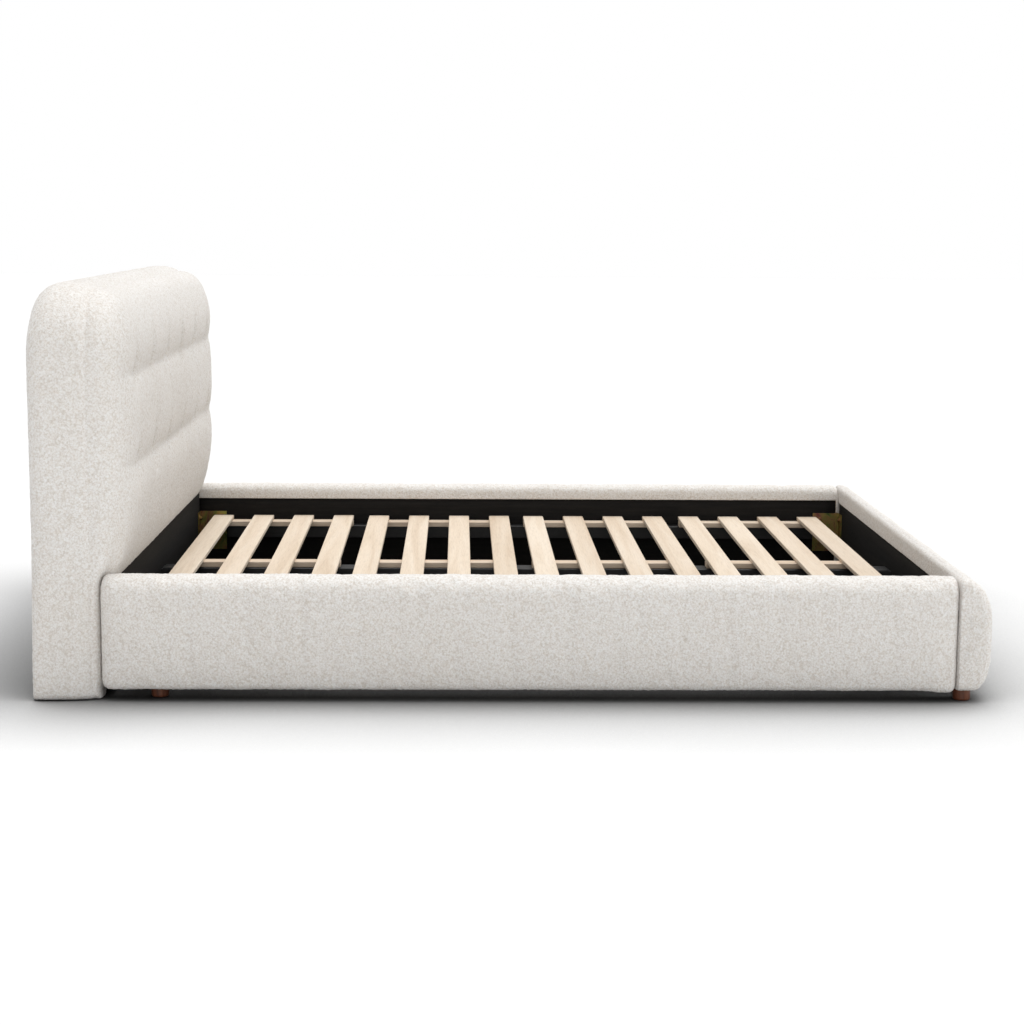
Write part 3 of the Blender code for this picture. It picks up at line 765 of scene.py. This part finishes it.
def headboard_cover():
    """One padded cover: tufted front, boxing band round the edge, and a lip on the back."""
    rows = headboard_rows()
    columns = headboard_columns()
    across = len(columns)
    up = len(rows)
    verts = []
    for z in rows:
        half = half_width_at(z, SEAM_INSET)
        for share in columns:
            y = share * half
            verts.append((front_x(y, z), y, z))
    front = list(verts)
    faces = grid_faces(across, up)
    border = grid_border(across, up)
    profiles = [band_profile(front[i][2]) for i in border]
    previous = border
    for step in range(len(profiles[0])):
        current = []
        for i, profile in zip(border, profiles):
            back, out = profile[step]
            current.append(len(verts))
            verts.append((SEAM_X - back, *outward(front[i][1], front[i][2], out)))
        faces += bridge(previous, current)
        previous = current
    inner_start = len(verts)
    squeeze_y = (HALF_WIDTH - BAND_THICKNESS) / (HALF_WIDTH - SEAM_INSET)
    squeeze_z = (TOP - BAND_THICKNESS) / (TOP - SEAM_INSET)
    verts += [(SEAM_X + BOARD_GAP, y * squeeze_y, z * squeeze_z) for _, y, z in front]
    faces += grid_faces(across, up, inner_start)
    faces += bridge(previous, [i + inner_start for i in border])
    cover = mesh_piece("headboard_cover", verts, faces, BOUCLE)
    held = [headboard_hold(y, z) for _, y, z in front]
    held += [1.0] * (len(verts) - len(front))
    inflate(cover, held, 5.0, 0.010)
    reach = LINING_HIGH.y + 2 * BOARD_GAP
    lining_space = ((SEAM_X - CUT_PAST, -reach, -CUT_PAST), (FRONT_X + 0.05, reach, HEM_Z))
    finish_cover(cover, [lining_space], 0.75, "headboard_pad", "headboard_border")


# ---------------------------------------------------------------- rail covers


def oval(center, across, up, start, end, steps):
    """Points along part of an oval, between two angles in degrees."""
    angles = [math.radians(start + (end - start) * i / steps) for i in range(steps + 1)]
    return [(center[0] + across * math.cos(a), center[1] + up * math.sin(a)) for a in angles]


def arc(center, radius, start, end, steps):
    return oval(center, radius, radius, start, end, steps)


def refine(outline, step):
    """A closed outline with points no further apart than a step."""
    points = []
    for i, start in enumerate(outline):
        end = outline[(i + 1) % len(outline)]
        count = max(math.ceil(math.dist(start, end) / step), 1)
        for k in range(count):
            points.append(tuple(a + (b - a) * k / count for a, b in zip(start, end)))
    return points


def stations(low, high, edge):
    """Places along a rail, closer together toward its two ends."""
    ends = [edge * (1 - math.cos(math.pi / 2 * i / 5)) for i in range(6)]
    between = high - low - 2 * edge
    count = round(between / STATION_STEP)
    middle = [low + edge + between * i / count for i in range(1, count)]
    return [low + e for e in ends] + middle + [high - e for e in reversed(ends)]


def swept_solid(name, outline, places, place_point):
    """A closed outline carried along a rail; place_point gives each point's position."""
    n = len(outline)
    verts = [place_point(place, point) for place in places for point in outline]
    rings = [list(range(s * n, (s + 1) * n)) for s in range(len(places))]
    faces = []
    for first, second in zip(rings, rings[1:]):
        faces += bridge(first, second)
    for ring in (rings[0], rings[-1]):
        middle = [sum(verts[k][axis] for k in ring) / n for axis in range(3)]
        previous = ring
        for share in (0.66, 0.33):
            inner = list(range(len(verts), len(verts) + n))
            verts += [tuple(m + (v - m) * share for v, m in zip(verts[k], middle)) for k in ring]
            faces += bridge(previous, inner)
            previous = inner
        faces.append(tuple(previous))
    return mesh_piece(name, verts, faces, BOUCLE)


def end_round(distance, radius):
    """How far a surface draws in near a rounded end."""
    if distance >= radius:
        return 0.0
    short = radius - distance
    return radius - math.sqrt(max(radius * radius - short * short, 0))


def rail_hold(from_inner, from_bottom, from_end):
    """How firmly a rail cover is held: at its ends, and where it is stapled inside and underneath."""
    stapled = bell(from_inner, 0.010) + bell(from_bottom, 0.008)
    return min(1.0, 0.12 + stapled + bell(max(from_end, 0), 0.020))


def inflate_rail(cover, held):
    """Rails are packed firmly, so their covers swell little."""
    inflate(cover, held, 2.2, 0.004, frames=12, slack=0.006)


def side_rail_cover(side, sign):
    """A side rail's cover: rounded over its top, drawn in at its two ends."""
    wrap, outer = RAIL_LOW.y, RAIL_HIGH.y
    top_radius, inner_radius, bottom_radius = 0.036, 0.024, 0.016
    outline = arc((wrap + inner_radius, RAIL_TOP - inner_radius), inner_radius, 180, 90, 5)
    outline += arc((outer - top_radius, RAIL_TOP - top_radius), top_radius, 90, 0, 7)
    outline += arc((outer - bottom_radius, RAIL_BOTTOM + bottom_radius), bottom_radius, 0, -90, 4)
    outline += [(wrap, RAIL_BOTTOM)]
    start_x = RAIL_BOARD_LOW.x - END_PADDING
    end_x = RAIL_BOARD_HIGH.x + END_PADDING
    head_radii = (0.030, 0.020)
    foot_radii = (0.022, 0.015)
    fullness = 0.0035
    corner_sag = 0.0045

    def place_point(x, point):
        y, z = point
        from_end = min(x - start_x, end_x - x)
        side_round, top_round = head_radii if x - start_x < end_x - x else foot_radii
        side_in = end_round(from_end, side_round)
        top_in = end_round(from_end, top_round)
        across = smooth_step((y - wrap - 0.004) / 0.05)
        upward = smooth_step((z - MIDDLE_Z) / HALF_Z * 1.6)
        downward = smooth_step((MIDDLE_Z - z) / HALF_Z * 1.6)
        y -= side_in * across
        z -= top_in * upward
        z += 0.6 * top_in * downward * across
        along = min(from_end / ALONG_EASE, 1)
        crown = max(math.cos(math.pi / 2 * (z - MIDDLE_Z) / HALF_Z), 0)
        out = smooth_step((y - wrap) / (outer - wrap) * 2 - 1)
        y += out * (fullness * crown * along + 0.0012 * uneven(x, 0, z, 0.13, 5.0 + sign))
        if z > RAIL_TOP - 0.012:
            z += 0.0012 * uneven(x, y, 0, 0.10, 2.0 + sign) * along
        if z < MIDDLE_Z:
            sag = corner_sag * smooth_step((x - (end_x - 0.085)) / 0.055) * (1 - top_in / foot_radii[1])
            z -= downward * across * (sag + 0.0012 * uneven(x, 0, 0, 0.07, 11.0 + sign))
        return (x, sign * y, z)

    places = stations(start_x, end_x, 0.030)
    cover = swept_solid("side_rail_fabric_" + side, refine(outline, OUTLINE_STEP), places, place_point)
    spots = [v.co for v in cover.data.vertices]
    held = [rail_hold(abs(p.y) - wrap, p.z - RAIL_BOTTOM, min(p.x - start_x, end_x - p.x)) for p in spots]
    inflate_rail(cover, held)
    board_y = sorted((sign * (RAIL_BOARD_LOW.y - BOARD_GAP), sign * (RAIL_BOARD_HIGH.y + BOARD_GAP)))
    face_y = sorted((sign * (wrap - CUT_PAST), sign * (RAIL_BOARD_LOW.y + 0.01)))
    below = RAIL_BOTTOM - CUT_PAST
    bracket_low, bracket_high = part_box("corner_bracket_head_far")
    boxes = [
        (
            (RAIL_BOARD_LOW.x, board_y[0], below),
            (RAIL_BOARD_HIGH.x, board_y[1], RAIL_BOARD_HIGH.z + BOARD_GAP),
        ),
        (
            (start_x + END_STRIP, face_y[0], below),
            (end_x - END_STRIP, face_y[1], RAIL_TOP - RAIL_HEM),
        ),
        (
            (start_x - CUT_PAST, face_y[0], bracket_low.z - BRACKET_GAP),
            (end_x + CUT_PAST, face_y[1], bracket_high.z + BRACKET_GAP),
        ),
    ]
    finish_cover(cover, boxes, 0.85, "side_rail_cover_" + side)


def foot_rail_cover():
    """The foot rail's cover: one long curve down its outer side, over the full width."""
    low, high = FOOT_LOW, FOOT_HIGH
    inner_radius, top_radius, bottom_radius = 0.012, 0.072, 0.040
    top_reach, bottom_reach = 0.105, 0.085
    top = (high.x - top_radius, RAIL_TOP - top_reach)
    bottom = (high.x - bottom_radius, low.z + bottom_reach)
    end_radius = 0.022
    outline = arc((low.x + inner_radius, RAIL_TOP - inner_radius), inner_radius, 180, 90, 3)
    outline += oval(top, top_radius, top_reach, 90, 0, 12)
    outline += oval(bottom, bottom_radius, bottom_reach, 0, -90, 9)
    outline += [(low.x, low.z)]
    middle_x = (low.x + high.x) / 2

    def place_point(y, point):
        x, z = point
        from_end = min(y - low.y, high.y - y)
        side_in = end_round(from_end, end_radius)
        across = smooth_step((x - low.x - 0.004) / 0.05)
        x -= side_in * across
        x += 0.4 * min(side_in, 0.006) * (1 - across)
        z -= 0.85 * side_in * smooth_step((z - MIDDLE_Z) / HALF_Z * 1.4)
        z += 0.6 * side_in * smooth_step((MIDDLE_Z - z) / HALF_Z * 1.4)
        out = smooth_step((x - middle_x) / (high.x - middle_x))
        x += 0.0012 * out * uneven(0, y, z, 0.13, 4.0)
        if z > RAIL_TOP - 0.03:
            z += 0.0014 * uneven(x, y, 0, 0.11, 7.0) * min(from_end / ALONG_EASE, 1)
        return (x, y, z)

    places = stations(low.y, high.y, end_radius)
    cover = swept_solid("foot_rail_fabric", refine(outline, OUTLINE_STEP), places, place_point)
    spots = [v.co for v in cover.data.vertices]
    inflate_rail(cover, [rail_hold(p.x - low.x, p.z - low.z, high.y - abs(p.y)) for p in spots])
    gap = Vector((BOARD_GAP, BOARD_GAP, BOARD_GAP))
    inside = RAIL_BOARD_LOW.y + BOARD_GAP
    board_low = FOOT_BOARD_LOW - gap
    below = low.z - CUT_PAST
    boxes = [
        ((board_low.x, board_low.y, below), FOOT_BOARD_HIGH + gap),
        ((low.x - CUT_PAST, -inside, below), (FOOT_BOARD_LOW.x + 0.01, inside, RAIL_TOP - FOOT_HEM)),
    ]
    finish_cover(cover, boxes, 0.85, "foot_rail_cover")


# ---------------------------------------------------------------- black linings on the rails


def lining_sheet(name, corner, along, up, out):
    """A stretched lining: a thin closed sheet from a low corner, along and up, facing out."""
    across = 61
    rows = 9
    thickness = 0.0002
    verts = []
    for layer in (0, 1):
        for r in range(rows):
            for c in range(across):
                point = Vector(corner) + Vector(along) * (c / (across - 1))
                point += Vector(up) * (r / (rows - 1))
                verts.append(point + Vector(out) * thickness * layer)
    layer_size = across * rows
    faces = grid_faces(across, rows) + grid_faces(across, rows, layer_size)
    edge = grid_border(across, rows)
    faces += bridge(edge, [a + layer_size for a in edge])
    made = mesh_piece(name, verts, faces, LINING)
    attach(made, BEDFRAME)


def rail_linings():
    """Linings on the rail boards' inner faces, up behind the covers' hems."""
    start = RAIL_BOARD_LOW.x + END_STRIP
    length = RAIL_BOARD_HIGH.x - RAIL_BOARD_LOW.x - 2 * END_STRIP
    side_up = (0, 0, RAIL_TOP - RAIL_HEM + HEM_LAP - RAIL_BOTTOM)
    for side, sign in SIDES.items():
        corner = (start, sign * (RAIL_BOARD_LOW.y - LINING_GAP), RAIL_BOTTOM)
        lining_sheet("side_rail_lining_" + side, corner, (length, 0, 0), side_up, (0, -sign, 0))
    reach = RAIL_BOARD_LOW.y - 0.001
    corner = (FOOT_BOARD_LOW.x - LINING_GAP, -reach, RAIL_BOTTOM)
    foot_up = (0, 0, RAIL_TOP - FOOT_HEM + HEM_LAP - RAIL_BOTTOM)
    lining_sheet("foot_rail_lining", corner, (0, 2 * reach, 0), foot_up, (-1, 0, 0))


# ---------------------------------------------------------------- fasteners

WASHER_RADIUS = 0.0105
WASHER_THICKNESS = 0.0016
WASHER_EDGE = 0.0006
BOLT_RADIUS = 0.0065
BOLT_HEIGHT = 0.0045
BOLT_EDGE = 0.0010


def stacked_rings(levels, count, start):
    """A closed solid through rings of (radius, height), one above another."""
    verts = []
    for radius, height in levels:
        for k in range(count):
            angle = 2 * math.pi * k / count
            verts.append((radius * math.cos(angle), radius * math.sin(angle), height))
    rings = [list(range(start + i * count, start + (i + 1) * count)) for i in range(len(levels))]
    faces = [tuple(reversed(rings[0])), tuple(rings[-1])]
    for first, second in zip(rings, rings[1:]):
        faces += bridge(first, second)
    return verts, faces


def bolt(name, place, direction):
    """Hexagon head on a washer, its axis along direction."""
    washer = [
        (WASHER_RADIUS, 0.0),
        (WASHER_RADIUS, WASHER_THICKNESS - 0.0004),
        (WASHER_RADIUS - WASHER_EDGE, WASHER_THICKNESS),
    ]
    head_top = WASHER_THICKNESS + BOLT_HEIGHT
    head = [
        (BOLT_RADIUS, WASHER_THICKNESS),
        (BOLT_RADIUS, head_top - 0.0008),
        (BOLT_RADIUS - BOLT_EDGE, head_top),
    ]
    verts, faces = stacked_rings(washer, 24, 0)
    head_verts, head_faces = stacked_rings(head, 6, len(verts))
    turn = Vector(direction).to_track_quat("Z", "Y").to_matrix()
    placed = [turn @ Vector(v) + Vector(place) for v in verts + head_verts]
    made = mesh_piece(name, placed, faces + head_faces, YELLOW_ZINC, smooth=False)
    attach(made, BEDFRAME)


def bracket_bolts():
    """Two bolts through each leg of the four corner brackets."""
    plate = 0.003
    from_long_end = 0.022
    for end, away in (("head", 1), ("foot", -1)):
        for side, sign in SIDES.items():
            low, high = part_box("corner_bracket_" + end + "_" + side)
            face_y, wall_y = (low.y, high.y) if sign > 0 else (high.y, low.y)
            wall_x, long_end = (low.x, high.x) if away > 0 else (high.x, low.x)
            plate_y = wall_y - sign * plate
            plate_x = wall_x + away * plate
            for row, z in enumerate((low.z + 0.030, high.z - 0.020), 1):
                name = "bolt_{}_{}_{}_{}".format(end, side, "{}", row)
                side_place = (long_end - away * from_long_end, plate_y, z)
                end_place = (plate_x, (face_y + plate_y) / 2, z)
                bolt(name.format("side"), side_place, (0, -sign, 0))
                bolt(name.format("end"), end_place, (away, 0, 0))


headboard_cover()
for side_name, side_sign in SIDES.items():
    side_rail_cover(side_name, side_sign)
foot_rail_cover()
rail_linings()
bracket_bolts()

# ---------------------------------------------------------------- floor, light and camera


def studio_floor():
    """A wide floor under the bed."""
    size = 60.0
    count = 13
    places = [size * (i / (count - 1) - 0.5) for i in range(count)]
    verts = [(x, y, 0.0) for y in places for x in places]
    mesh_piece("studio_floor", verts, grid_faces(count, count), floor_material())


def sun(name, strength, angle, direction, color):
    """A soft light shining along a direction, as wide as its angle in degrees."""
    data = bpy.data.lights.new(name, "SUN")
    data.energy = strength
    data.angle = math.radians(angle)
    data.color = color
    made = bpy.data.objects.new(name, data)
    made.rotation_euler = Vector(direction).to_track_quat("-Z", "Y").to_euler()
    bpy.context.scene.collection.objects.link(made)


def studio_light():
    """A room that is brighter overhead and white to the camera, with three soft lights."""
    world = bpy.data.worlds.new("studio")
    world.use_nodes = True
    tree = world.node_tree
    background = tree.nodes["Background"]
    background.inputs["Color"].default_value = (1.0, 1.0, 1.0, 1.0)
    seen = add_node(tree, "ShaderNodeLightPath")
    place = add_node(tree, "ShaderNodeTexCoord")
    split = add_node(tree, "ShaderNodeSeparateXYZ")
    tree.links.new(place.outputs["Generated"], split.inputs["Vector"])
    dome = add_node(tree, "ShaderNodeMapRange")
    set_inputs(dome, From_Min=0.0, From_Max=0.55, To_Min=0.07, To_Max=0.62)
    tree.links.new(split.outputs["Z"], dome.inputs["Value"])
    strength = add_node(tree, "ShaderNodeMix", data_type="FLOAT")
    tree.links.new(seen.outputs["Is Camera Ray"], strength.inputs[0])
    tree.links.new(dome.outputs["Result"], strength.inputs[2])
    strength.inputs[3].default_value = 1.0
    tree.links.new(strength.outputs[0], background.inputs["Strength"])
    bpy.context.scene.world = world
    sun("overhead_softbox", 1.98, 40, (-0.08, -0.20, -1.0), (1.0, 0.999, 0.996))
    sun("headboard_fill", 0.84, 60, (-1.0, 0.10, -0.50), (0.960, 0.985, 1.0))
    sun("front_fill", 0.90, 30, (0.06, 1.0, -0.05), (1.0, 0.990, 0.975))


def camera():
    """Eye level beside the bed, looking across it."""
    place = Vector((-0.106, -5.552, 1.177))
    yaw, pitch, roll = (math.radians(a) for a in (1.199, -8.599, 0.393))
    forward = Vector((math.sin(yaw) * math.cos(pitch), math.cos(yaw) * math.cos(pitch), math.sin(pitch)))
    level = Vector((math.cos(yaw), -math.sin(yaw), 0))
    over = level.cross(forward)
    right = math.cos(roll) * level + math.sin(roll) * over
    up = -math.sin(roll) * level + math.cos(roll) * over
    turn = Matrix((right, up, -forward)).transposed().to_4x4()
    data = bpy.data.cameras.new("camera")
    data.sensor_width = 36.0
    data.lens = 70.06
    data.clip_end = 200.0
    made = bpy.data.objects.new("camera", data)
    made.matrix_world = Matrix.Translation(place) @ turn
    bpy.context.scene.collection.objects.link(made)
    bpy.context.scene.camera = made


studio_floor()
studio_light()
camera()
bpy.context.scene.view_settings.view_transform = "Standard"

bpy.context.view_layer.update()
